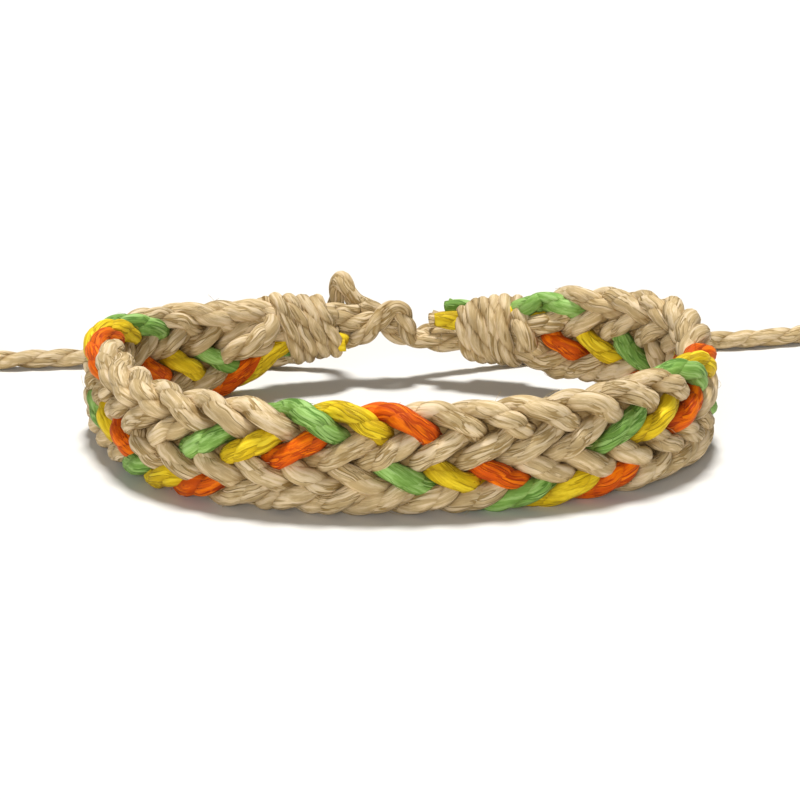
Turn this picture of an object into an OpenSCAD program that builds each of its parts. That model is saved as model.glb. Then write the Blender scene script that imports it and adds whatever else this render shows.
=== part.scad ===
// Woven bracelet, lying closed on a flat surface.
// A flat braid of nine two-ply cords stands on its edge and is bent into an open loop. Each end is
// gathered and whipped with cord. A tie leaves each whipping, and the two ties meet in a half knot
// at the back. Their free tails lie on the surface and end in small stopper knots.
// Millimetres. +Z is up, the front of the loop faces -Y, and the origin is under the middle of the
// bracelet's box, on the surface that it lies on.

/* [Loop] */
// Half width of the loop, left to right, at the middle of the braid
loop_half_w = 29.9; // [28.5:0.1:31.5]
// Half depth of the loop, front to back
loop_half_d = 17.75; // [17.1:0.05:19]
// How far the closure is drawn out at the back
back_pull = 3.05; // [2:0.05:4]
// Half of the angle over which it is drawn out
back_pull_deg = 26; // [20:1:32]

/* [Braid] */
// Width of the braid, from edge to edge
braid_w = 10; // [9:0.25:11]
// Thickness of the braid
braid_t = 4; // [3.6:0.1:4.4]
// Depth of the grooves between neighbouring strands, as a share of the relief drawn
relief = 1; // [0.5:0.05:1.1]

/* [Whippings] */
// Thickness of the wound cord round the gathered end
wrap_t = 1.2; // [0.95:0.05:1.4]
// Distance from one turn of the whipping to the next
wrap_pitch = 1.45; // [1.15:0.05:1.7]
// Clear gap between the gathered braid and the whipping round it
wrap_gap = 0.2; // [0.2:0.05:0.35]

/* [Ties and tails] */
// Diameter of a tie
tie_d = 2; // [1.7:0.1:2.1]
// Distance from the half knot's axis to the middle of each tie in it
knot_r = 1.35; // [1.25:0.05:1.4]
// Diameter of the stopper knots at the tails' ends
end_knot_d = 4.2; // [3.6:0.1:4.8]
// Clear gap where two cords meet end to end
meet_gap = 0.05; // [0.02:0.01:0.1]

/* [Hidden] */

natural = [0.76, 0.64, 0.47];
tie_natural = [0.72, 0.60, 0.44];

// The loop's own centre, from the middle of the bracelet's box
loop_centre = [0.2, -1.21, 0];

// The loop leaves a plain ellipse by these harmonics of the angle: [order, cosine, sine]
loop_harmonics = [
    [2, 0.065, 0],
    [3, 0.039, -0.005],
    [4, -0.017, -0.016]
];

// A strand takes one period to cross to the far edge and back. The first strand turns over the top
// edge at each whole period and under the bottom edge at each half: [period, distance along loop].
// Distances start at the middle of the closure and run past the left side, the front and the right.
strand_turns = [
    [-1.0, -4.5],
    [-0.5, 12.9],
    [0.0, 30.2],
    [0.5, 48.1],
    [1.0, 66.4],
    [1.5, 84.0],
    [2.0, 102.2],
    [2.5, 119.1],
    [3.0, 136.9],
    [3.5, 154.5]
];

// The braid from its gathered left end to its gathered right end:
// [distance along loop, half width, half thickness, height of the middle, share of the relief]
full_w = braid_w / 2;
full_t = braid_t / 2;
band_stations = [
    [6.1, 2.05, 1.50, 6.60, 0],
    [13.1, 2.65, 1.70, 6.65, 0],
    [14.45, 3.60, 1.85, 6.40, 0.6],
    [16.9, 4.65, full_t, 5.30, 1],
    [19.2, full_w, full_t, full_w, 1],
    [27.0, full_w + 0.2, full_t, full_w + 0.2, 1],
    [34.0, full_w + 0.3, full_t, full_w + 0.3, 1],
    [42.0, full_w + 0.15, full_t, full_w + 0.15, 1],
    [49.0, full_w, full_t, full_w, 1],
    [112.0, full_w, full_t, full_w, 1],
    [117.2, full_w + 0.3, full_t, full_w + 1.3, 1],
    [121.0, full_w + 0.4, full_t, full_w + 1.85, 1],
    [127.3, full_w + 0.1, full_t, full_w + 1.9, 1],
    [133.45, full_w, full_t, full_w + 1.4, 1],
    [136.05, 4.55, full_t, 6.10, 1],
    [138.2, 3.70, 1.85, 6.35, 0.6],
    [139.45, 2.80, 1.70, 6.15, 0],
    [143.5, 2.35, 1.60, 5.80, 0],
    [146.95, 1.55, 1.40, 5.75, 0]
];

// Half of the braid's section, from its top edge down the outer face to its bottom edge. Each of
// the four rows of the herringbone has one point on its strands' middle and shares one with the
// next row, where strands dive. The inner face is the same with its leads turned round.
// [height and depth as shares of the half width and half thickness, lead in periods, quarter of a
// stroke at which the row's strands pass, swell in height, swell in depth, dip in depth]
row_lead = 1 / 18;
half_section = [
    [0.955, 0.00, 0, 0, 0.045, 0, 0],
    [0.86, 0.60, 0.6 * row_lead, 0, 0.03, 0.12, 0],
    [0.68, 0.86, 1.4 * row_lead, 0, 0, 0.14, 0],
    [0.45, 0.92, 2.5 * row_lead, 0, 0, 0, 0.24],
    [0.20, 0.94, 1.5 * row_lead, 2, 0, 0.14, 0.08],
    [-0.05, 0.94, 0.5 * row_lead, 0, 0, 0, 0.26],
    [-0.27, 0.94, 1.5 * row_lead, 0, 0, 0.14, 0.08],
    [-0.49, 0.92, 2.5 * row_lead, 0, 0, 0, 0.24],
    [-0.70, 0.86, 1.4 * row_lead, 2, 0, 0.14, 0],
    [-0.86, 0.60, 0.6 * row_lead, 2, -0.03, 0.12, 0],
    [-0.955, 0.00, 0, 2, -0.045, 0, 0]
];

// Each whipping: [distance along loop at its wide end, at its narrow end]
whip_left = [12.35, 6.0];
whip_right = [140.2, 147.05];

// The half knot's axis: left end, right end, and the angles of the left tie at each of them.
// Angles turn from the back towards the top.
knot_axis = [[-2.9, 21.2, 6.6], [1.6, 21.4, 5.9]];
knot_turn = [-135, -720];

// Route of the left-going tail, from the knot's left end, over the left whipping and down behind it
tail_left_route = [
    [-2.9, 22.1, 7.6],
    [-3.8, 22.2, 8.0],
    [-4.8, 22.7, 8.9],
    [-5.6, 23.4, 9.7],
    [-6.6, 24.0, 9.8],
    [-7.3, 24.6, 8.9],
    [-7.9, 24.9, 7.4],
    [-8.5, 25.1, 5.5],
    [-9.3, 25.3, 3.6],
    [-10.6, 25.5, 2.1],
    [-12.5, 25.7, 1.3],
    [-15.2, 26.0, 1.05],
    [-19.0, 26.3, 1.05],
    [-23.8, 26.5, 1.05],
    [-28.5, 26.6, 1.05],
    [-33.2, 26.4, 1.05],
    [-38.0, 25.8, 1.05],
    [-41.8, 25.4, 1.05],
    [-44.6, 25.2, 1.05]
];

// Route of the right-going tail, from the knot's right end and down behind the right whipping
tail_right_route = [
    [1.6, 22.7, 5.9],
    [2.7, 23.0, 5.6],
    [4.0, 23.6, 4.9],
    [5.5, 24.3, 4.0],
    [7.2, 25.1, 2.8],
    [9.1, 25.8, 1.9],
    [11.4, 26.7, 1.2],
    [14.2, 27.7, 1.05],
    [18.0, 29.1, 1.05],
    [22.8, 30.6, 1.05],
    [27.5, 31.9, 1.05],
    [32.3, 33.0, 1.05],
    [36.1, 33.5, 1.05],
    [39.9, 34.3, 1.05],
    [43.7, 35.5, 1.05],
    [47.0, 37.0, 1.05]
];

// The loop as points, and as tables of its coordinates against the distance along it
loop_steps = 360;
function harmonic_sum(a, i = 0) = i >= len(loop_harmonics) ? 1 :
    loop_harmonics[i][1] * cos(loop_harmonics[i][0] * a)
    + loop_harmonics[i][2] * sin(loop_harmonics[i][0] * a)
    + harmonic_sum(a, i + 1);
function from_back(a) = 180 - abs(a);
function loop_point(a) = [
    loop_half_w * harmonic_sum(a) * sin(a),
    -loop_half_d * harmonic_sum(a) * cos(a) + back_pull * exp(-pow(from_back(a) / back_pull_deg, 2)),
    0
];
loop_points = [for (i = [0:loop_steps]) loop_point(i * 360 / loop_steps - 180)];
loop_runs = [for (i = 0, run = 0; i <= loop_steps; i = i + 1,
    run = run + norm(loop_points[min(i, loop_steps)] - loop_points[i - 1])) run];
loop_x = [for (i = [0:loop_steps]) [loop_runs[i], loop_points[i].x]];
loop_y = [for (i = [0:loop_steps]) [loop_runs[i], loop_points[i].y]];

// Place on the loop's middle line at distance s, and the outward direction there
function on_loop(s) = [lookup(s, loop_x), lookup(s, loop_y), 0];
function along_loop(s) = on_loop(s + 0.4) - on_loop(s - 0.4);
function outward(s) = let (t = along_loop(s)) [t.y, -t.x, 0] / norm(t);

// Column c of the band's stations at distance s
function station(s, c) = lookup(s, [for (row = band_stations) [row[0], row[c]]]);

// Point beside the loop: out from its middle line by n, and v above the braid's middle height
function beside(s, n, v) = loop_centre + on_loop(s) + n * outward(s) + [0, 0, station(s, 3) + v];

// The whole section: down the outer face (side 1), then up the inner face (side -1)
half_count = len(half_section);
section_count = 2 * half_count - 2;
function section_row(j) = half_section[j < half_count ? j : section_count - j];
function section_side(j) = j < half_count ? 1 : -1;

// The braid: ring i stands at i quarters of a stroke, and its points follow the strands
strand_count = 9;
rings_per_period = 4 * strand_count;
band_start = band_stations[0][0];
band_end = band_stations[len(band_stations) - 1][0];
place_of_turn = strand_turns;
turn_of_place = [for (row = strand_turns) [row[1], row[0]]];
first_ring = ceil(lookup(band_start, turn_of_place) * rings_per_period);
last_ring = floor(lookup(band_end, turn_of_place) * rings_per_period);
lead_fade = 12.4;
function lead_share(s) = max(0, min(1, (s - band_start) / lead_fade, (band_end - s) / lead_fade));
function ring_place(i) = i <= first_ring ? band_start : i >= last_ring ? band_end :
    lookup(i / rings_per_period, place_of_turn);
function band_place(i, j) = let (s = ring_place(i))
    s + lead_share(s) * section_side(j)
        * (lookup(i / rings_per_period + section_row(j)[2], place_of_turn)
            - lookup(i / rings_per_period, place_of_turn));
function band_point(i, j) = let (
    row = section_row(j),
    s = band_place(i, j),
    share = relief * station(s, 4),
    swell = share * cos(90 * (i - row[3])))
    beside(s,
        section_side(j) * station(s, 2) * (row[1] + swell * row[5] - share * row[6]),
        station(s, 1) * (row[0] + swell * row[4]));

// Faces of a closed skin over rings of n points, rows rings long, with both ends capped
function skin_faces(rows, n) = concat(
    [[for (j = [0:n - 1]) j]],
    [for (i = [0:rows - 2], j = [0:n - 1]) let (a = i * n + j, b = i * n + (j + 1) % n)
        [a, a + n, b]],
    [for (i = [0:rows - 2], j = [0:n - 1]) let (a = i * n + j, b = i * n + (j + 1) % n)
        [b, a + n, b + n]],
    [[for (j = [n - 1:-1:0]) (rows - 1) * n + j]]);

// Faces of a sleeve, whose last ring joins its first
function sleeve_faces(rows, n) = [for (i = [0:rows - 1], j = [0:n - 1], half = [0, 1])
    let (a = i * n + j, b = i * n + (j + 1) % n, up = ((i + 1) % rows) * n)
        half == 0 ? [a, up + j, b] : [b, up + j, up + (j + 1) % n]];

module braid_band() {
    color(natural)
        polyhedron(
            points = [for (i = [first_ring:last_ring], j = [0:section_count - 1]) band_point(i, j)],
            faces = skin_faces(last_ring - first_ring + 1, section_count),
            convexity = 8);
}

// A whipping is a sleeve: crests and grooves of the wound cord outside, a smooth bore inside
whip_slant = 0.5;
whip_swell = 0.17;
function whip_bore(s, j) = let (row = section_row(j))
    beside(s,
        section_side(j) * (station(s, 2) * row[1] + wrap_gap * sign(row[1])),
        station(s, 1) * row[0] + wrap_gap * sign(row[0]));
function whip_skin(s, j, crest) = let (
    a = 360 * j / section_count,
    grow = wrap_t * (1 - whip_swell * (1 - crest)))
    beside(s, (station(s, 2) + grow) * sin(a), (station(s, 1) + grow) * cos(a));
module whipping(ends) {
    turns = round(abs(ends[1] - ends[0]) / wrap_pitch);
    steps = 2 * turns;
    way = sign(ends[1] - ends[0]);
    inner = 4;
    rings = concat(
        [for (m = [0:steps], j = [0:section_count - 1]) let (
            share = m / steps,
            tilt = whip_slant * cos(360 * j / section_count) * min(1, m, steps - m))
            whip_skin(ends[0] + share * (ends[1] - ends[0]) + tilt, j, m % 2)],
        [for (m = [inner:-1:0], j = [0:section_count - 1])
            whip_bore(ends[0] + m / inner * (ends[1] - ends[0]), j)]);
    faces = sleeve_faces(steps + 1 + inner + 1, section_count);
    color(natural)
        polyhedron(
            points = rings,
            faces = way > 0 ? faces : [for (f = faces) [f[2], f[1], f[0]]],
            convexity = 6);
}
module whipping_left() {
    whipping(whip_left);
}
module whipping_right() {
    whipping(whip_right);
}

// A smooth curve through a route's points, with one more point between each two
function spline(p, i, t) = let (
    a = p[max(i - 1, 0)],
    b = p[i],
    c = p[i + 1],
    d = p[min(i + 2, len(p) - 1)])
    0.5 * (2 * b + (c - a) * t + (2 * a - 5 * b + 4 * c - d) * t * t
        + (3 * b - a - 3 * c + d) * t * t * t);
function smooth_route(p) = concat([for (i = [0:len(p) - 2], t = [0, 0.5]) spline(p, i, t)],
    [p[len(p) - 1]]);

// A cord of round section along points p. Its first ring stands square to the given direction.
cord_sides = 8;
function cord_ring(c, t, d) = let (
    side = cross([0, 1, 0], t),
    u = side / norm(side),
    w = cross(t, u))
    [for (k = [0:cord_sides - 1]) let (a = 360 * k / cord_sides)
        c + d / 2 * (cos(a) * u + sin(a) * w)];
module cord(p, d, start, end) {
    n = len(p);
    points = [for (i = [0:n - 1]) let (
        t = i == 0 ? start : i == n - 1 ? end : p[i + 1] - p[i - 1])
        each cord_ring(p[i], t / norm(t), d)];
    color(tie_natural)
        polyhedron(points = points, faces = skin_faces(n, cord_sides), convexity = 6);
}

// Where a tie stands in the half knot's end plane, at share 0 or 1 of its axis
function knot_place(share, turned) = let (
    a = knot_turn[0] + share * (knot_turn[1] - knot_turn[0]) + turned)
    loop_centre + knot_axis[0] + share * (knot_axis[1] - knot_axis[0])
        + knot_r * [0, cos(a), sin(a)];

// A tie runs from the gathered end of the braid to the half knot
tie_rest = tie_d * 0.86;
module tie(s, drop, share, turned, way) {
    from = beside(s, 0, -drop);
    t = -way * along_loop(s);
    to = knot_place(share, turned) - [way * meet_gap, 0, 0];
    start = from + meet_gap * t / norm(t);
    cord([start, start + (to - start) * 0.33 + [0, 0, 0.15], start + (to - start) * 0.67, to],
        tie_rest, t, [way, 0, 0]);
}
module tie_left() {
    tie(band_start, 1.1, 0, 0, 1);
}
module tie_right() {
    tie(band_end, 0.6, 1, 180, -1);
}

// The half knot: two ties turned round each other, as one solid with a waisted, turning section
knot_sides = 16;
knot_rings = 26;
knot_waist = 1.6;
function knot_reach(a, r) = abs(knot_r * sin(a)) < r * 0.98
    ? max(knot_waist, knot_r * abs(cos(a)) + sqrt(r * r - pow(knot_r * sin(a), 2)))
    : knot_waist;
module closure_knot() {
    points = [for (i = [0:knot_rings], k = [0:knot_sides - 1]) let (
        share = i / knot_rings,
        turned = knot_turn[0] + share * (knot_turn[1] - knot_turn[0]),
        a = 360 * k / knot_sides)
        loop_centre + knot_axis[0] + share * (knot_axis[1] - knot_axis[0])
            + knot_reach(a, tie_d / 2) * [0, cos(a + turned), sin(a + turned)]];
    color(natural)
        polyhedron(points = points, faces = skin_faces(knot_rings + 1, knot_sides), convexity = 8);
}

// A tail starts square on the knot's end plane and follows its route
module tail(route, way) {
    placed = [for (p = route) loop_centre + p + (p == route[0] ? [way * meet_gap, 0, 0] : [0, 0, 0])];
    n = len(placed);
    cord(smooth_route(placed), tie_d, [way, 0, 0], placed[n - 1] - placed[n - 2]);
}
module tail_left() {
    tail(tail_left_route, -1);
}
module tail_right() {
    tail(tail_right_route, 1);
}

// A stopper knot: two turns of the cord side by side round its core, seated on the surface
module end_knot(route) {
    n = len(route);
    run = route[n - 1] - route[n - 2];
    seat = loop_centre + route[n - 1] + run / norm(run) * (end_knot_d / 2 + meet_gap);
    turn_r = end_knot_d / 4;
    turn_x = end_knot_d / 2 - turn_r;
    color(tie_natural)
        translate([seat.x, seat.y, end_knot_d / 2])
            rotate([0, 90, atan2(run.y, run.x)])
                rotate_extrude($fn = 40) {
                    for (side = [-1, 1])
                        translate([turn_r, side * turn_x]) circle(turn_r, $fn = 24);
                    translate([0, -end_knot_d / 2]) square([turn_r, end_knot_d]);
                }
}
module end_knot_left() {
    end_knot(tail_left_route);
}
module end_knot_right() {
    end_knot(tail_right_route);
}

braid_band();
whipping_left();
whipping_right();
tie_left();
tie_right();
closure_knot();
tail_left();
tail_right();
end_knot_left();
end_knot_right();
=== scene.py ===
import math

import bpy
import numpy as np
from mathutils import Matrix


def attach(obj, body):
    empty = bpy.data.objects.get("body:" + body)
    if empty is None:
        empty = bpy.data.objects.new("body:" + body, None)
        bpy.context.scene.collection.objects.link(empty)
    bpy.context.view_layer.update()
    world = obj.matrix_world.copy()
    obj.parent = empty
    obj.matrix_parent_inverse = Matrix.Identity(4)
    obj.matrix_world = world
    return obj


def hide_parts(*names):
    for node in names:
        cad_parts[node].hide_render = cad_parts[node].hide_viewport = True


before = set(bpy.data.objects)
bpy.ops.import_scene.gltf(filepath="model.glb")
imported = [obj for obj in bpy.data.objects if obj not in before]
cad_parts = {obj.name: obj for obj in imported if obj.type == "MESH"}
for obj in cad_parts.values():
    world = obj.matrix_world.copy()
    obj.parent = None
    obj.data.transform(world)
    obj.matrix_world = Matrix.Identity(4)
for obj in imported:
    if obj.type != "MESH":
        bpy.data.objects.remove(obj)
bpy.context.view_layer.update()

bpy.ops.object.select_all(action="DESELECT")

# The braid's middle line, in metres: an oval loop with its closure drawn out at the back
LOOP_HALF_W = 0.0299
LOOP_HALF_D = 0.01775
BACK_PULL = 0.00305
BACK_PULL_DEG = 26
LOOP_CENTRE = np.array((0.0002, -0.00121, 0))
# Order of each harmonic, with its cosine and sine shares
LOOP_HARMONICS = [(2, 0.065, 0), (3, 0.039, -0.005), (4, -0.017, -0.016)]

# The cord: its diameter, one turn of its two plies, and its half width where the braid presses it flat
CORD_D = 0.0020
CORD_LAY = 0.0058
PRESSED_R = 0.00106

# The braid's strands: the coloured ones come first, and the others are natural
STRANDS = 9
STRAND_SEED = 100
COLOURED = ["green", "yellow", "orange"]

# A strand's way across the braid and back: its periods, and where along the loop each of them falls
STRAND_TURNS = [
    (-1, -0.0045),
    (-0.5, 0.0129),
    (0, 0.0302),
    (0.25, 0.0382),
    (0.5, 0.0481),
    (1, 0.0664),
    (1.5, 0.0840),
    (2, 0.1030),
    (2.25, 0.1119),
    (2.5, 0.1189),
    (3, 0.1375),
    (3.5, 0.1562),
]
STRAND_PERIODS, STRAND_PLACES = zip(*STRAND_TURNS)

# Places along the loop, with the braid's half width, half thickness and middle height there
STATIONS = [
    (0.0061, 0.00215, 0.00150, 0.00630),
    (0.0131, 0.00280, 0.00170, 0.00620),
    (0.01445, 0.00360, 0.00185, 0.00600),
    (0.0169, 0.00465, 0.00200, 0.00530),
    (0.0192, 0.00500, 0.00200, 0.00500),
    (0.0270, 0.00520, 0.00200, 0.00520),
    (0.0340, 0.00530, 0.00200, 0.00530),
    (0.0420, 0.00515, 0.00200, 0.00515),
    (0.0490, 0.00500, 0.00200, 0.00500),
    (0.0900, 0.00500, 0.00200, 0.00500),
    (0.0990, 0.00530, 0.00200, 0.00540),
    (0.1060, 0.00520, 0.00200, 0.00530),
    (0.1120, 0.00500, 0.00200, 0.00500),
    (0.1172, 0.00530, 0.00200, 0.00630),
    (0.1210, 0.00540, 0.00200, 0.00685),
    (0.1273, 0.00510, 0.00200, 0.00690),
    (0.13345, 0.00500, 0.00200, 0.00640),
    (0.13605, 0.00455, 0.00200, 0.00610),
    (0.1382, 0.00370, 0.00185, 0.00635),
    (0.13945, 0.00280, 0.00170, 0.00615),
    (0.1435, 0.00235, 0.00160, 0.00580),
    (0.14695, 0.00155, 0.00140, 0.00575),
]
STATION_COLUMNS = dict(zip(("place", "half_w", "half_t", "height"), zip(*STATIONS)))
STATION_EASE = 0.0012
BAND_START = STATIONS[0][0]
BAND_END = STATIONS[-1][0]

# The whippings, from wide end to narrow end along the loop, with their turns and how far these lean
WRAP_LEFT = (0.0138, 0.0060, 4.5, 0.0013)
WRAP_RIGHT = (0.1388, 0.1455, 5, 0.0003)
# How far they stand off the braid, and half the thickness of their cord
WRAP_T = 0.0012
WRAP_CORD_R = 0.00086

# Where along the loop each tie lies hidden in its whipping, and how far below the braid's middle
TIE_LEFT_INSIDE = (0.009, 0.0075, 0.0066)
TIE_RIGHT_INSIDE = (0.1440, 0.1452, 0.1462)
TIE_DROP = 0.0014

# Each tie's way through the half knot, from where it leaves its whipping, measured from the loop's centre
KNOT_LEFT_WAY = [
    (-0.0048, 0.0206, 0.0045),
    (-0.0031, 0.0200, 0.0056),
    (-0.0018, 0.0197, 0.0072),
    (-0.0009, 0.0199, 0.0082),
    (0.0000, 0.0201, 0.0080),
    (0.0006, 0.0202, 0.0067),
    (0.0008, 0.0206, 0.0053),
    (0.0011, 0.0217, 0.0045),
]
KNOT_RIGHT_WAY = [
    (0.0042, 0.0208, 0.0041),
    (0.0030, 0.0211, 0.0043),
    (0.0016, 0.0217, 0.0044),
    (0.0001, 0.0221, 0.0045),
    (-0.0012, 0.0223, 0.0053),
    (-0.0021, 0.0222, 0.0066),
]

# Routes of the free tails, measured from the loop's own centre
TAIL_LEFT_ROUTE = [
    (-0.0029, 0.0221, 0.0076),
    (-0.0039, 0.0222, 0.0077),
    (-0.0047, 0.0224, 0.0081),
    (-0.0052, 0.0227, 0.0090),
    (-0.0057, 0.0232, 0.0099),
    (-0.0062, 0.0239, 0.0102),
    (-0.0064, 0.0247, 0.0095),
    (-0.0066, 0.0251, 0.0079),
    (-0.0070, 0.0253, 0.0059),
    (-0.0079, 0.0254, 0.0038),
    (-0.0095, 0.0255, 0.0022),
    (-0.0120, 0.0257, 0.0013),
    (-0.0152, 0.0260, 0.00105),
    (-0.0190, 0.0263, 0.00105),
    (-0.0238, 0.0265, 0.00105),
    (-0.0285, 0.0266, 0.00105),
    (-0.0332, 0.0264, 0.00105),
    (-0.0380, 0.0258, 0.00105),
    (-0.0418, 0.0254, 0.00105),
    (-0.0446, 0.0252, 0.00105),
]
TAIL_RIGHT_ROUTE = [
    (0.0018, 0.0227, 0.0042),
    (0.0028, 0.0233, 0.0046),
    (0.0040, 0.0239, 0.0044),
    (0.0055, 0.0245, 0.0037),
    (0.0072, 0.0251, 0.0028),
    (0.0091, 0.0258, 0.0019),
    (0.0114, 0.0267, 0.0012),
    (0.0142, 0.0277, 0.00105),
    (0.0180, 0.0291, 0.00105),
    (0.0228, 0.0306, 0.00105),
    (0.0275, 0.0319, 0.00105),
    (0.0323, 0.0330, 0.00105),
    (0.0361, 0.0335, 0.00105),
    (0.0399, 0.0343, 0.00105),
    (0.0437, 0.0355, 0.00105),
    (0.0470, 0.0370, 0.00105),
]
END_KNOT_D = 0.0042


# Lines through space

# How far apart the rings of a cord stand
RING_STEP = 0.00022
# A direction that no cord starts along
START_SIDE = (0.02, 0.01, 1)
# Lengths of the waves in a cord's irregularities, and the range of their strength
WAVE_LENGTHS = (0.031, 0.013, 0.0061)
WAVE_STRENGTHS = (0.5, 1)


def distances(line):
    """How far along a line each of its points is."""
    return np.concatenate([[0], np.cumsum(np.linalg.norm(np.diff(line, axis=0), axis=1))])


def evenly(line):
    """The same line, with its points about as far apart as the rings of a cord."""
    run = distances(line)
    at = np.linspace(0, run[-1], max(2, round(run[-1] / RING_STEP)) + 1)
    return np.stack([np.interp(at, run, line[:, k]) for k in range(3)], axis=1)


def through(points, parts=12):
    """A smooth curve through given points: a Catmull-Rom spline."""
    p = np.array(points, float)
    before = np.vstack([p[:1], p[:-2]])
    start, end = p[:-1], p[1:]
    after = np.vstack([p[2:], p[-1:]])
    t = np.linspace(0, 1, parts, endpoint=False)[:, None, None]
    slope = (end - before) * t
    bend = (2 * before - 5 * start + 4 * end - after) * t ** 2
    turn = (3 * start - before - 3 * end + after) * t ** 3
    curve = 2 * start + slope + bend + turn
    return np.vstack([curve.transpose(1, 0, 2).reshape(-1, 3) / 2, p[-1:]])


def relaxed(line, reach):
    """An even line with its kinks eased over a reach, and its ends kept."""
    spread = reach / 2
    half = max(1, round(3 * spread / RING_STEP))
    weights = np.exp(-0.5 * (np.arange(-half, half + 1) * RING_STEP / spread) ** 2)
    weights /= weights.sum()
    before = 2 * line[0] - line[half:0:-1]
    after = 2 * line[-1] - line[-2:-half - 2:-1]
    padded = np.vstack([before, line, after])
    return np.stack([np.convolve(padded[:, k], weights, "valid") for k in range(3)], axis=1)


def frames(line):
    """A line's direction at each point, and two side directions that turn as little as they can."""
    ahead = np.gradient(line, axis=0)
    ahead /= np.linalg.norm(ahead, axis=1)[:, None]
    sides = np.empty_like(line)
    side = np.cross(ahead[0], START_SIDE)
    for i, direction in enumerate(ahead):
        side = side - direction * (side @ direction)
        side = side / np.linalg.norm(side)
        sides[i] = side
    return ahead, sides, np.cross(ahead, sides)


def wander(run, reach, rng):
    """Small, slow and smooth irregularity along a run: a few waves of different lengths."""
    total = 0
    for length in WAVE_LENGTHS:
        start = rng.uniform(0, 2 * math.pi)
        strength = rng.uniform(*WAVE_STRENGTHS)
        total = total + strength * np.sin(2 * math.pi * run / length + start)
    return reach * total / 2


def eased(s, ease, places, values):
    """Values at distances s: straight from place to place, with the corners eased."""
    return sum(np.interp(s + shift, places, values) for shift in (-ease, 0, ease)) / 3


# The loop that the braid follows

LOOP_STEPS = 1440
# The loop's direction is taken from this far behind a point to as far ahead
LOOK_AHEAD = 0.0004


def loop_table():
    """Distance along the loop, X and Y, from the middle of the closure past the left, front and right."""
    degrees = np.linspace(-180, 180, LOOP_STEPS + 1)
    turn = np.radians(degrees)
    swell = 1 + sum(c * np.cos(k * turn) + s * np.sin(k * turn) for k, c, s in LOOP_HARMONICS)
    pull = BACK_PULL * np.exp(-(((180 - np.abs(degrees)) / BACK_PULL_DEG) ** 2))
    x = LOOP_HALF_W * swell * np.sin(turn)
    y = -LOOP_HALF_D * swell * np.cos(turn) + pull
    run = np.concatenate([[0], np.cumsum(np.hypot(np.diff(x), np.diff(y)))])
    return run, x, y


LOOP_RUN, LOOP_X, LOOP_Y = loop_table()


def on_loop(s):
    """Points of the loop at distances s, measured from its centre."""
    x = np.interp(s, LOOP_RUN, LOOP_X)
    y = np.interp(s, LOOP_RUN, LOOP_Y)
    return np.stack([x, y, np.zeros_like(s)], -1)


def outward(ahead):
    """Level directions out from the loop, square to the directions along it."""
    ahead = ahead / np.linalg.norm(ahead, axis=1)[:, None]
    return np.stack([ahead[:, 1], -ahead[:, 0], np.zeros(len(ahead))], -1)


def station(s, column):
    """A measure of the braid at distances s, eased over its corners."""
    return eased(s, STATION_EASE, STATION_COLUMNS["place"], STATION_COLUMNS[column])


def beside(s, out, up):
    """Points beside the loop's middle line: out from the loop, and up from the braid's middle height."""
    away = outward(on_loop(s + LOOK_AHEAD) - on_loop(s - LOOK_AHEAD))
    rise = np.zeros((len(s), 3))
    rise[:, 2] = station(s, "height") + up
    return LOOP_CENTRE + on_loop(s) + away * np.reshape(out, (-1, 1)) + rise


# Laid cord: two plies, each a tube of rings with fibre directions

PLY_SIDES = 12
# Half thickness of a ply as a share of the cord's, where the cord is free and where it is pressed
PLY_SHARE = 0.76
PRESSED_PLY_SHARE = 0.83
# How far a ply's thickness wanders, as a share, and how far its turn does, in radians
THICKNESS_WANDER = 0.08
TURN_WANDER = 0.9
# The twist of a cord starts anywhere in this range, in radians
TWIST_STARTS = (0, 6)
# Slant of the fibres in a ply, in radians for a metre
FIBRE_SLANT = 330
# Fibre places are told to the finish in millimetres, and start anywhere in this range
IN_MM = 1000
FIBRE_STARTS = (0, 50)


def tube(line, radius, sides):
    """Rings of points around a line, and the angles of those points."""
    _, side, up = frames(line)
    around = 2 * math.pi * np.arange(sides) / sides
    away = np.cos(around)[None, :, None] * side[:, None] + np.sin(around)[None, :, None] * up[:, None]
    return line[:, None] + np.reshape(radius, (-1, 1, 1)) * away, around


def ply_lines(line, phase, offset):
    """The middle lines of a cord's two plies. They turn left-handed, as an S twist does."""
    _, side, up = frames(line)
    turn = phase - 2 * math.pi * distances(line) / CORD_LAY
    for half in (0, math.pi):
        away = np.cos(turn + half)[:, None] * side + np.sin(turn + half)[:, None] * up
        yield line + offset[:, None] * away


def laid_cord(line, phase, rng, cord_r=CORD_D / 2, ply_share=PLY_SHARE):
    """Rings of both plies along an even line, with the lay of the fibres and the share of the crown."""
    run = distances(line)
    ply_r = cord_r * ply_share * (1 + wander(run, THICKNESS_WANDER, rng))
    phase = phase + wander(run, TURN_WANDER, rng)
    plies = []
    for middle in ply_lines(line, phase, cord_r - ply_r):
        rings, around = tube(middle, ply_r, PLY_SIDES)
        turned = around[None] - FIBRE_SLANT * distances(middle)[:, None]
        along = np.repeat(run[:, None], PLY_SIDES, 1)
        lay = np.stack([along, ply_r[:, None] * np.cos(turned), ply_r[:, None] * np.sin(turned)], -1)
        # The crown, the distance from the cord's middle, later sets the painted shade in the crease
        # between the plies
        crown = np.linalg.norm(rings - line[:, None], axis=2) / cord_r
        plies.append((rings, lay * IN_MM + rng.uniform(*FIBRE_STARTS), crown))
    return plies


def cut(plies, first, last):
    """The stretch of each ply from its first ring to its last."""
    return [tuple(part[first:last + 1] for part in ply) for ply in plies]


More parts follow.
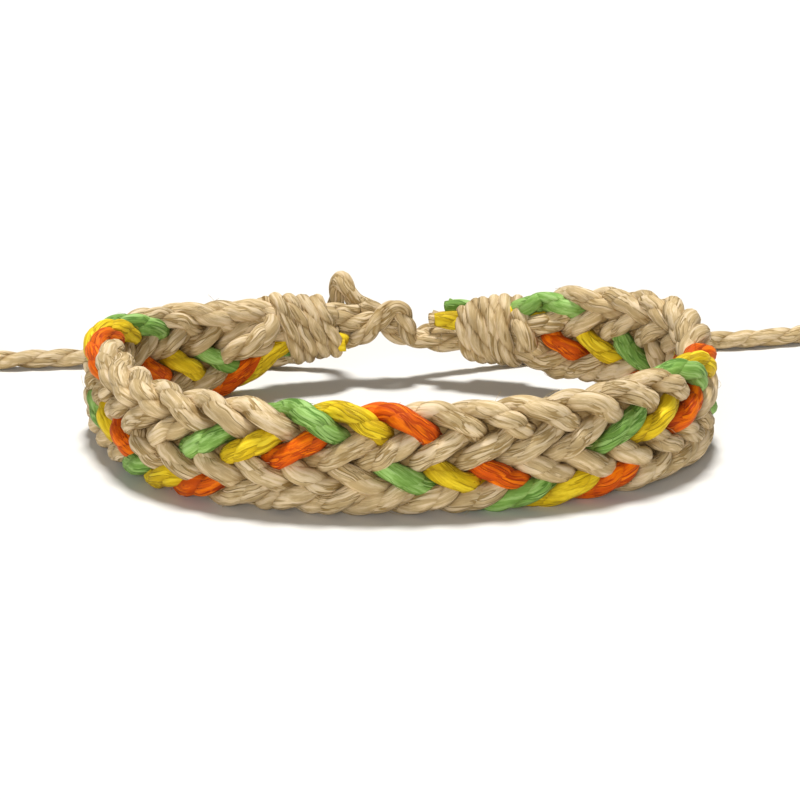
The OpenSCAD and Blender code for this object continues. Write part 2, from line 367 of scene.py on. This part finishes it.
def ring_faces(rings, sides, base):
    """Faces of a tube of rings that stand in order from a base vertex, with both ends closed."""
    i, j = np.meshgrid(np.arange(rings - 1), np.arange(sides), indexing="ij")
    a = base + i * sides + j
    b = base + i * sides + (j + 1) % sides
    walls = np.stack([a, b, b + sides, a + sides], -1).reshape(-1, 4).tolist()
    last = base + (rings - 1) * sides
    return walls + [list(range(base + sides - 1, base - 1, -1)), list(range(last, last + sides))]


def cord_piece(name, plies, colour="natural"):
    """One object from the rings of its plies, riding on the bracelet."""
    faces, base = [], 0
    for rings, _, _ in plies:
        faces += ring_faces(len(rings), rings.shape[1], base)
        base += rings.shape[0] * rings.shape[1]
    mesh = bpy.data.meshes.new(name)
    mesh.from_pydata(np.vstack([p[0].reshape(-1, 3) for p in plies]).tolist(), [], faces)
    lay = mesh.attributes.new("lay", "FLOAT_VECTOR", "POINT")
    lay.data.foreach_set("vector", np.vstack([p[1].reshape(-1, 3) for p in plies]).ravel())
    crown = mesh.attributes.new("crown", "FLOAT", "POINT")
    crown.data.foreach_set("value", np.concatenate([p[2].ravel() for p in plies]))
    mesh.shade_smooth()
    mesh.materials.append(FINISHES[colour])
    piece = bpy.data.objects.new(name, mesh)
    bpy.context.scene.collection.objects.link(piece)
    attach(piece, "root")
    return piece


# Shader maths

class Value:
    """A socket of a shader that adds and multiplies as a number does."""

    def __init__(self, shader, socket):
        self.shader = shader
        self.socket = socket

    def maths(self, operation, *values):
        return self.shader.node("ShaderNodeMath", {"operation": operation}, dict(enumerate(values)))

    def size(self):
        return self.maths("ABSOLUTE", self)

    def between(self, low, high):
        """Low where this value is 0, and high where it is 1."""
        return self * (high - low) + low

    def __add__(self, other):
        return self.maths("ADD", self, other)

    def __sub__(self, other):
        return self.maths("SUBTRACT", self, other)

    def __rsub__(self, other):
        return self.maths("SUBTRACT", other, self)

    def __mul__(self, other):
        return self.maths("MULTIPLY", self, other)

    __radd__ = __add__
    __rmul__ = __mul__


class Shader:
    """A material under construction."""

    def __init__(self, name):
        self.material = bpy.data.materials.new(name)
        self.material.use_nodes = True
        self.tree = self.material.node_tree
        self.tree.nodes.clear()

    def node(self, kind, settings, sockets, output=0):
        """Adds a node: its settings first, then its sockets' values or links, by name or number."""
        made = self.tree.nodes.new(kind)
        for name, value in settings.items():
            setattr(made, name, value)
        for name, value in sockets.items():
            if isinstance(value, Value):
                self.tree.links.new(value.socket, made.inputs[name])
            else:
                made.inputs[name].default_value = value
        return Value(self, made.outputs[output]) if made.outputs else made

    def noise(self, at, scale=1.0, detail=2.0, roughness=0.5):
        return self.node("ShaderNodeTexNoise", {"noise_dimensions": "3D"},
                         {"Vector": at, "Scale": scale, "Detail": detail, "Roughness": roughness})

    def stretched(self, at, shares):
        return self.node("ShaderNodeVectorMath", {"operation": "MULTIPLY"}, {0: at, 1: shares})

    def step(self, value, low, high):
        """0 below low, 1 above high, and smooth between them."""
        return self.node("ShaderNodeMapRange", {"interpolation_type": "SMOOTHSTEP"},
                         {"Value": value, "From Min": low, "From Max": high})

    def mix(self, share, a, b, blend="MIX"):
        settings = {"data_type": "RGBA", "blend_type": blend}
        return self.node("ShaderNodeMix", settings, {0: share, 6: a, 7: b}, 2)

    def finish(self, sockets):
        """The material, once its surface has its sockets' values and links."""
        surface = self.node("ShaderNodeBsdfPrincipled", {}, sockets)
        self.node("ShaderNodeOutputMaterial", {}, {"Surface": surface})
        return self.material


# Fineness of the cord's patterns along and across its fibres, for a millimetre
SWAY_GRAIN = (0.6, 0.3, 0.3)
FIBRE_GRAIN = (0.6, 4.6, 4.6)
BUNDLE_GRAIN = (0.3, 2.2, 2.2)
TIGHT_GRAIN = (0.3, 0.6, 0.6)
# How strongly the fibres sway in the two directions across the cord
FIBRE_SWAY = (0.75, -0.65)
# Fineness of the dye's patches, for a metre
DYE_GRAIN = 330.0
# Share of the light that is left deep between the plies, in red, green and blue
CREASE_SHADE = (0.54, 0.46, 0.32)
# The middle of a noise's values
MIDDLE = 0.5


def waxed_cord(name, pale, main, deep):
    """Waxed cord: fine fibres along the lay, painted shade in the crease between the plies and in the
    valleys between strands, and uneven dye.
    """
    s = Shader(name)
    lay = s.node("ShaderNodeAttribute", {"attribute_name": "lay"}, {}, "Vector")
    crown = s.node("ShaderNodeAttribute", {"attribute_name": "crown"}, {}, "Fac")
    place = s.node("ShaderNodeTexCoord", {}, {}, "Object")
    wave = s.noise(s.stretched(lay, SWAY_GRAIN), detail=1.0) - MIDDLE
    sway = s.node("ShaderNodeCombineXYZ", {}, {1: wave * FIBRE_SWAY[0], 2: wave * FIBRE_SWAY[1]})
    wavy = s.node("ShaderNodeVectorMath", {"operation": "ADD"}, {0: lay, 1: sway})
    fibres = s.noise(s.stretched(wavy, FIBRE_GRAIN), detail=4.0, roughness=0.7)
    bundles = s.noise(s.stretched(wavy, BUNDLE_GRAIN), detail=2.0, roughness=0.4)
    tight = s.noise(s.stretched(lay, TIGHT_GRAIN), detail=1.0)
    dye = s.noise(place, DYE_GRAIN)
    # Closed is 0 in the thin gaps between bundles of fibres, which open where the cord isn't tight
    beside_gap = s.step((bundles - MIDDLE).size(), 0.0, 0.08)
    closed = s.step(beside_gap + s.step(tight, 0.42, 0.62), 0.0, 1.0)
    light = s.step(fibres * 0.55 + bundles * 0.45, 0.37, 0.66)
    colour = s.mix(light.between(0.4, 1), (*deep, 1), (*main, 1))
    colour = s.mix(light * light * 0.8, colour, (*pale, 1))
    colour = s.mix(closed.between(0.2, 1), (*deep, 1), colour)
    uneven = s.step(dye, 0.3, 0.7).between(0.84, 1.06)
    # Painted shade: the colour darkens where the surface lies deep in the crease between the plies or in
    # a valley between strands, with less blue in the deepest parts
    open_to_light = s.step(crown, 0.64, 0.93)
    depths = [uneven * open_to_light.between(least, 1) for least in CREASE_SHADE]
    painted_shade = s.node("ShaderNodeCombineColor", {}, dict(enumerate(depths)))
    colour = s.mix(1.0, colour, painted_shade, "MULTIPLY")
    height = fibres * 0.5 + bundles * 0.4 + closed * 0.5
    bump = s.node("ShaderNodeBump", {}, {"Strength": 0.9, "Distance": 0.00016, "Height": height})
    return s.finish({
        "Base Color": colour,
        "Roughness": fibres.between(0.45, 0.75),
        "Normal": bump,
        "Sheen Weight": 0.02,
        "Sheen Roughness": 0.5,
        "Specular IOR Level": 0.14,
    })


def floor_finish():
    s = Shader("pale_floor")
    return s.finish({
        "Base Color": (0.69, 0.675, 0.64, 1),
        "Roughness": 0.8,
        "Specular IOR Level": 0.1,
    })


# The camera comes first

CAMERA_PLACE = (0.0002, -0.18171, 0.0592)
CAMERA_DOWN = 0.2952
CAMERA_LENS = 90.87


def camera():
    data = bpy.data.cameras.new("camera")
    data.lens = CAMERA_LENS
    data.sensor_width = 36
    data.clip_start = 0.005
    made = bpy.data.objects.new("camera", data)
    bpy.context.scene.collection.objects.link(made)
    made.location = CAMERA_PLACE
    made.rotation_euler = (math.pi / 2 - CAMERA_DOWN, 0, 0)
    bpy.context.scene.camera = made


camera()

# Pale, main and deep colour of each cord
CORD_COLOURS = {
    "natural": ((0.73, 0.585, 0.40), (0.735, 0.565, 0.315), (0.29, 0.18, 0.05)),
    "green": ((0.39, 0.59, 0.21), (0.288, 0.50, 0.105), (0.075, 0.19, 0.018)),
    "yellow": ((0.90, 0.70, 0.04), (0.86, 0.60, 0.01), (0.43, 0.27, 0.003)),
    "orange": ((0.93, 0.235, 0.001), (0.84, 0.142, 0), (0.38, 0.03, 0)),
}
FINISHES = {name: waxed_cord(f"{name}_cord", *colours) for name, colours in CORD_COLOURS.items()}


# Ties and tails: each tie is one cord from its whipping through the half knot to its stopper knot

# The stopper knot starts a little beyond the tail, and is full-sized after a sixth of its length
STOPPER_POINTS = 70
STOPPER_TURNS = 2.1
STOPPER_START = 0.0012
STOPPER_LENGTH = 0.0021
STOPPER_CORD_R = 0.0009
STOPPER_GROWTH = 6
# A tail's direction at its end is taken over this many of its points
AIM_POINTS = 6
TIE_EASE = 0.0009


def stopper_line(at, ahead):
    """The cord's end, wound twice round itself."""
    ahead = ahead / np.linalg.norm(ahead)
    side = np.cross(ahead, (0, 0, 1))
    share = np.linspace(0, 1, STOPPER_POINTS)
    turn = 2 * math.pi * STOPPER_TURNS * share
    away = (END_KNOT_D / 2 - STOPPER_CORD_R) * np.minimum(1, STOPPER_GROWTH * share)
    along = (STOPPER_START + STOPPER_LENGTH * share)[:, None]
    middle = at + ahead * along + (0, 0, END_KNOT_D / 2 - at[2])
    round_it = np.cos(turn)[:, None] * side + np.sin(turn)[:, None] * np.array((0, 0, 1.0))
    return middle + away[:, None] * round_it


def tie(name, from_s, knot_way, route, seed):
    """Makes a tie's cord in four pieces that meet end to end: tie, half knot, tail and stopper knot."""
    rng = np.random.default_rng(seed)
    inside = np.array(from_s)
    held = beside(inside, np.zeros(len(inside)), np.full(len(inside), -TIE_DROP))
    free = through(LOOP_CENTRE + np.array(route[1:]))
    end = stopper_line(free[-1], free[-1] - free[-AIM_POINTS])
    bent = through(LOOP_CENTRE + np.array([*knot_way, *route]))
    line = evenly(relaxed(evenly(np.vstack([through(held), bent, end])), TIE_EASE))
    marks = [bent[0], free[0], free[-1]]
    knot_in, knot_out, stop = [int(np.linalg.norm(line - m, axis=1).argmin()) for m in marks]
    plies = laid_cord(line, rng.uniform(*TWIST_STARTS), rng)
    other = "right" if name == "left" else "left"
    held_tie = cord_piece(f"cord_tie_{name}", cut(plies, 0, knot_in))
    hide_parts(f"tie_{name}")
    half = cord_piece(f"half_knot_{name}_tie", cut(plies, knot_in, knot_out))
    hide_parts("closure_knot")
    stopper = cord_piece(f"stopper_{other}", cut(plies, stop, len(line) - 1))
    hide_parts(f"end_knot_{other}")
    tail = cord_piece(f"cord_tail_{other}", cut(plies, knot_out, stop))
    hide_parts(f"tail_{other}")
    path = line[knot_out:stop + 1]
    float(distances(path)[-1])


tie("left", TIE_LEFT_INSIDE, KNOT_LEFT_WAY, TAIL_RIGHT_ROUTE, seed=11)
tie("right", TIE_RIGHT_INSIDE, KNOT_RIGHT_WAY, TAIL_LEFT_ROUTE, seed=12)


# The braid: nine strands, each over two and under two

# Where in its period a strand dives from face to face, and how long each dive takes on either side
DIVES = np.array([0.1, 2.5, 4.5, 6.5, 9.2, 11.4, 13.5, 15.5, 18.1]) / (2 * STRANDS)
DIVE_REACH = np.array([1, 0.75, 0.75, 0.75, 1, 0.75, 0.75, 0.75, 1]) / (2 * STRANDS)
# How sharply a strand turns at the lower edge and at the upper edge: 1 is the sharpest
EDGE_TURN = (0.985, 0.90)
# How far a strand sags on its way across, and how far it rises at the back, in half widths
ROW_SAG = 0.09
BACK_LIFT = 0.18
# How far a strand runs ahead on its way down, and how far it lags near the top edge, in periods
DOWN_LEAD = 0.022
TOP_LAG = 0.038
# Places along the loop, and the share of the rise and of the lag there
BACK_ZONE = ((0.026, 0.036, 0.112, 0.122), (1, 0, 0, 1))
TOP_ZONE = ((0.028, 0.036, 0.046, 0.060, 0.112, 0.122), (0, -0.65, -0.35, 1, 0.9, 0))
# How much thinner the braid is at its edges, as a share
EDGE_THINNING = 0.3
# How far the strands stop short of the braid's two ends
START_SHORT = 0.0008
END_SHORT = 0.0018
# How far the corners of a strand's periods and its kinks are eased, and how far it wanders
PERIOD_EASE = 0.003
STRAND_EASE = 0.0007
UP_WANDER = 0.00014
OUT_WANDER = 0.00008
# Painted shade in the valleys between strands: they lose up to this share of the crown, which darkens
# them. The loss starts at this share of the half thickness and grows inward over this depth
VALLEY_SHADE = 0.27
VALLEY_TOP = 0.8
VALLEY_DEPTH = 0.5
# It fades at the braid's edges, from this share of the half width outward, over this reach
EDGE_FROM = 0.6
EDGE_REACH = 0.3


def over_under(phase):
    """1 where a strand lies on the outer face, -1 on the inner face, and 0 where it dives."""
    phase = (phase - DIVES[0]) % 1 + DIVES[0]
    i = np.clip(np.searchsorted(DIVES, phase, side="right") - 1, 0, len(DIVES) - 2)
    since = (phase - DIVES[i]) / DIVE_REACH[i]
    until = (DIVES[i + 1] - phase) / DIVE_REACH[i + 1]
    rise, fall = (np.sin(math.pi / 2 * np.minimum(share, 1)) for share in (since, until))
    return np.where(i % 2 == 0, 1, -1) * rise * fall


def strand_line(k, rng):
    """The middle line of a strand, a share of a period behind the one before it."""
    s = np.arange(BAND_START + START_SHORT, BAND_END - END_SHORT, RING_STEP / 2)
    phase = (eased(s, PERIOD_EASE, STRAND_PLACES, STRAND_PERIODS) - k / STRANDS) % 1
    phase += DOWN_LEAD * np.maximum(0, np.sin(2 * math.pi * phase))
    phase -= TOP_LAG * np.interp(s, *TOP_ZONE) * np.maximum(0, np.cos(2 * math.pi * phase)) ** 3
    swing = np.cos(2 * math.pi * phase)
    cross = sum(np.arcsin(turn * np.clip(way * swing, 0, 1)) / math.asin(turn) * way
                for turn, way in zip(EDGE_TURN, (-1, 1)))
    cross -= ROW_SAG * (1 - cross ** 2) * (1 - cross)
    cross += BACK_LIFT * np.interp(s, *BACK_ZONE) * (1 - cross ** 2) ** 2
    up = (station(s, "half_w") - CORD_D / 2) * cross + wander(s, UP_WANDER, rng)
    rounding = 1 - EDGE_THINNING * np.abs(cross) ** 3
    reach = (station(s, "half_t") - CORD_D / 2) * rounding
    out = reach * over_under(phase) + wander(s, OUT_WANDER, rng)
    return evenly(relaxed(evenly(beside(s, out, up)), STRAND_EASE))


def valley_shaded(plies, line):
    """The same plies, with less crown, and so painted shade, where they lie deep between their
    neighbours.
    """
    loop = LOOP_CENTRE + np.stack([LOOP_X, LOOP_Y, np.zeros_like(LOOP_X)], -1)
    nearest = np.linalg.norm((line[:, None] - loop[None])[:, :, :2], axis=2).argmin(1)
    away = outward(np.gradient(loop, axis=0))[nearest]
    half_w = station(LOOP_RUN[nearest], "half_w")[:, None]
    half_t = station(LOOP_RUN[nearest], "half_t")[:, None]
    height = station(LOOP_RUN[nearest], "height")[:, None]
    deeper = []
    for rings, lay, crown in plies:
        out = np.abs(np.einsum("ijk,ik->ij", rings - loop[nearest][:, None], away)) / half_t
        edge = (np.abs(rings[:, :, 2] - height) / half_w - EDGE_FROM) / EDGE_REACH
        depth = np.clip((VALLEY_TOP - np.maximum(out, edge)) / VALLEY_DEPTH, 0, 1)
        deeper.append((rings, lay, crown * (1 - VALLEY_SHADE * depth)))
    return deeper


def strand(k, label):
    """Makes a strand and gives its line. The label is its colour, with a number if it is natural."""
    rng = np.random.default_rng(STRAND_SEED + k)
    line = strand_line(k, rng)
    plies = laid_cord(line, rng.uniform(*TWIST_STARTS), rng, PRESSED_R, PRESSED_PLY_SHARE)
    piece = cord_piece(f"strand_{label}", valley_shaded(plies, line), label.split("_")[0])
    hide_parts("braid_band")
    return line


NATURAL_LABELS = [f"natural_{i + 1}" for i in range(STRANDS - len(COLOURED))]
strand_lines = [strand(k, label) for k, label in enumerate(COLOURED + NATURAL_LABELS)]


# Loose fibres

FIBRES_PER_CORD = 50
FIBRE_R = 0.000018
FIBRE_SIDES = 3
FIBRE_POINTS = 9
# No fibre starts within this many points of a cord's ends
FIBRE_MARGIN = 20
# How far a fibre lies from the cord's middle, and how far it leans and bends sideways at most
FIBRE_OUT = 0.00078
FIBRE_LEAN = 0.9
FIBRE_BEND = 0.0005
# The range of its length, of its rise off the cord, and of the part of a wave in it, in radians
FIBRE_LENGTHS = (0.0010, 0.0026)
FIBRE_RISES = (0.0001, 0.0005)
FIBRE_ARCS = (1.8, 3.1)
# No fibre lies lower than this above the surface
LOWEST_FIBRE = 0.00005


def fibre_line(at, ahead, away, rng):
    """The line of one fibre near a point of a cord, given the directions along and away from it."""
    across = np.cross(away, ahead)
    along = ahead + rng.uniform(-FIBRE_LEAN, FIBRE_LEAN) * across
    length = rng.uniform(*FIBRE_LENGTHS)
    share = np.linspace(0, 1, FIBRE_POINTS)[:, None]
    rise = rng.uniform(*FIBRE_RISES) * np.sin(rng.uniform(*FIBRE_ARCS) * share)
    path = at + away * (FIBRE_OUT + rise) + along * length * (share - 0.5)
    path += across * rng.uniform(-FIBRE_BEND, FIBRE_BEND) * share ** 2
    path[:, 2] = np.maximum(path[:, 2], LOWEST_FIBRE)
    return path


def loose_fibres(colour, lines, seed):
    """Thin fibres that stand off the cords in low arcs, as one mesh."""
    rng = np.random.default_rng(seed)
    fibres = []
    for line in lines:
        ahead, side, up = frames(line)
        for i in rng.integers(FIBRE_MARGIN, len(line) - FIBRE_MARGIN, FIBRES_PER_CORD):
            angle = rng.uniform(0, 2 * math.pi)
            away = math.cos(angle) * side[i] + math.sin(angle) * up[i]
            rings, _ = tube(fibre_line(line[i], ahead[i], away, rng), FIBRE_R, FIBRE_SIDES)
            fibres.append((rings, rings * IN_MM, np.ones(rings.shape[:2])))
    piece = cord_piece(f"loose_fibres_{colour}", fibres, colour)
    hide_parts("braid_band")


for k, colour in enumerate(COLOURED):
    loose_fibres(colour, strand_lines[k:k + 1], seed=200 + k)
loose_fibres("natural", strand_lines[len(COLOURED):], seed=210)


# The filling: how far it stops short of the braid's ends and edges, and its half thickness

FILLING_SHORT = 0.006
FILLING_STEP = 0.0008
FILLING_INSET = 0.0011
FILLING_HALF_T = 0.0003
FILLING_CORNERS = [(-1, -1), (1, -1), (1, 1), (-1, 1)]


def filling():
    """A thin strip between the braid's two faces, so that no light shows through its small gaps. With no
    crown it takes the full painted crease shade and shows as a dark gap.
    """
    s = np.arange(BAND_START + FILLING_SHORT, BAND_END - FILLING_SHORT, FILLING_STEP)
    half_t = np.full(len(s), FILLING_HALF_T)
    half_w = station(s, "half_w") - FILLING_INSET
    rings = np.stack([beside(s, out * half_t, up * half_w) for out, up in FILLING_CORNERS], axis=1)
    # No crown: the strip is painted in the full crease shade
    piece = cord_piece("braid_filling", [(rings, rings * IN_MM, np.zeros(rings.shape[:2]))])
    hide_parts("braid_band")


filling()


# The whippings: cord wound round each gathered end, its own ends tucked in

WRAP_POINTS = 900
# Share of a turn's width that stays free at each end
WRAP_MARGIN = 0.45
# The winding's ends are tucked this deep, and come up within one of this many parts of a turn
TUCK_DEPTH = 0.0009
TUCK_PARTS = 6


def winding(name, wide, narrow, turns, lean, seed):
    """The turns of a whipping, close round the braid's end."""
    rng = np.random.default_rng(seed)
    share = np.linspace(0, 1, WRAP_POINTS)
    turn = 2 * math.pi * turns * share
    margin = WRAP_MARGIN * abs(narrow - wide) / turns
    way = math.copysign(1, narrow - wide)
    s = wide + way * margin + share * (narrow - wide - 2 * way * margin)
    s += lean * np.cos(turn)
    tuck = np.clip(np.minimum(share, 1 - share) * turns * TUCK_PARTS, 0, 1) ** 0.5
    grow = WRAP_T - WRAP_CORD_R - (1 - tuck) * TUCK_DEPTH
    out = (station(s, "half_t") + grow) * np.sin(turn)
    up = (station(s, "half_w") + grow) * np.cos(turn)
    line = evenly(beside(s, out, up))
    piece = cord_piece(f"winding_{name}", laid_cord(line, 0, rng, WRAP_CORD_R))
    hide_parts(f"whipping_{name}")


winding("left", *WRAP_LEFT, seed=21)
winding("right", *WRAP_RIGHT, seed=22)


# Short cut ends beside the whippings, and slack turns of cord there

def stub(name, seed, points, colour="natural", cord_r=CORD_D / 2):
    """A short cord beside the loop. Each of its points is a distance along, one out and one up."""
    s, out, up = np.array(points).T
    line = evenly(through(beside(s, out, up)))
    rng = np.random.default_rng(seed)
    cord_piece(name, laid_cord(line, rng.uniform(*TWIST_STARTS), rng, cord_r), colour)


def cut_ends_left():
    stub("cut_end_yellow_left", 31, [
        (0.0085, -0.0010, -0.0010),
        (0.0060, -0.0013, -0.0016),
    ], "yellow")
    stub("cut_end_natural_left", 36, [
        (0.0085, -0.0004, 0.0007),
        (0.0066, -0.0001, 0.0005),
        (0.0048, 0.0003, 0.0001),
        (0.0030, 0.0006, 0.0001),
        (0.0002, 0.0008, 0.0003),
    ], cord_r=0.0011)
    stub("cut_end_back_left", 39, [
        (0.0085, 0.0004, 0.0013),
        (0.0064, 0.0009, 0.0013),
        (0.0043, 0.0012, 0.0009),
    ], cord_r=0.0009)


def cut_ends_right():
    stub("cut_end_yellow_right", 32, [
        (0.1445, -0.0009, 0.0011),
        (0.1479, -0.0011, 0.0012),
    ], "yellow")
    stub("cut_end_green_right", 33, [
        (0.1445, 0.0006, 0.0020),
        (0.1470, 0.0006, 0.0023),
    ], "green", cord_r=0.0009)
    stub("cut_end_natural_right", 34, [
        (0.1445, 0.0009, 0.0006),
        (0.1486, 0.0008, 0.0008),
    ])


def slack_turns():
    stub("slack_turn_right", 35, [
        (0.1391, -0.0010, 0.0019),
        (0.1377, -0.0024, 0.0003),
        (0.1380, -0.0010, -0.0014),
    ], cord_r=0.00118)
    stub("slack_turn_small", 40, [
        (0.1380, -0.0006, 0.0008),
        (0.1365, -0.0019, 0.0013),
        (0.1346, -0.0006, 0.0012),
    ], cord_r=0.00105)
    stub("slack_turn_left", 37, [
        (0.0189, -0.0004, -0.0008),
        (0.0180, -0.0022, 0.0001),
        (0.0161, -0.0028, 0.0007),
        (0.0144, -0.0022, 0.0012),
        (0.0136, -0.0006, 0.0014),
    ], cord_r=0.00118)
    stub("slack_turn_green", 38, [
        (0.1392, -0.0004, 0.0024),
        (0.1380, -0.0014, 0.0028),
        (0.1366, -0.0012, 0.0034),
    ], "green")


cut_ends_left()
cut_ends_right()
slack_turns()


# Floor and light

def floor():
    bpy.ops.mesh.primitive_plane_add(size=4, location=(0, 1, 0))
    made = bpy.context.object
    made.name = "floor"
    made.data.materials.append(floor_finish())


def soft_light(name, place, size, power):
    """A round light that faces the bracelet."""
    data = bpy.data.lights.new(name, "AREA")
    data.shape = "DISK"
    data.size = size
    data.energy = power
    made = bpy.data.objects.new(name, data)
    bpy.context.scene.collection.objects.link(made)
    made.location = place
    aim = -np.array(place)
    tilt = math.acos(aim[2] / np.linalg.norm(aim)) - math.pi
    made.rotation_euler = (tilt, 0, math.atan2(aim[0], -aim[1]))


def daylight(strength):
    world = bpy.data.worlds.new("daylight")
    world.use_nodes = True
    background = world.node_tree.nodes["Background"]
    background.inputs["Color"].default_value = (1, 1, 1, 1)
    background.inputs["Strength"].default_value = strength
    bpy.context.scene.world = world


floor()
soft_light("key", (0.0, 0.40, 2.2), size=0.5, power=67)
soft_light("front", (-0.45, -2.2, 0.65), size=1.1, power=29)
daylight(strength=0.17)
bpy.context.scene.view_settings.view_transform = "Standard"
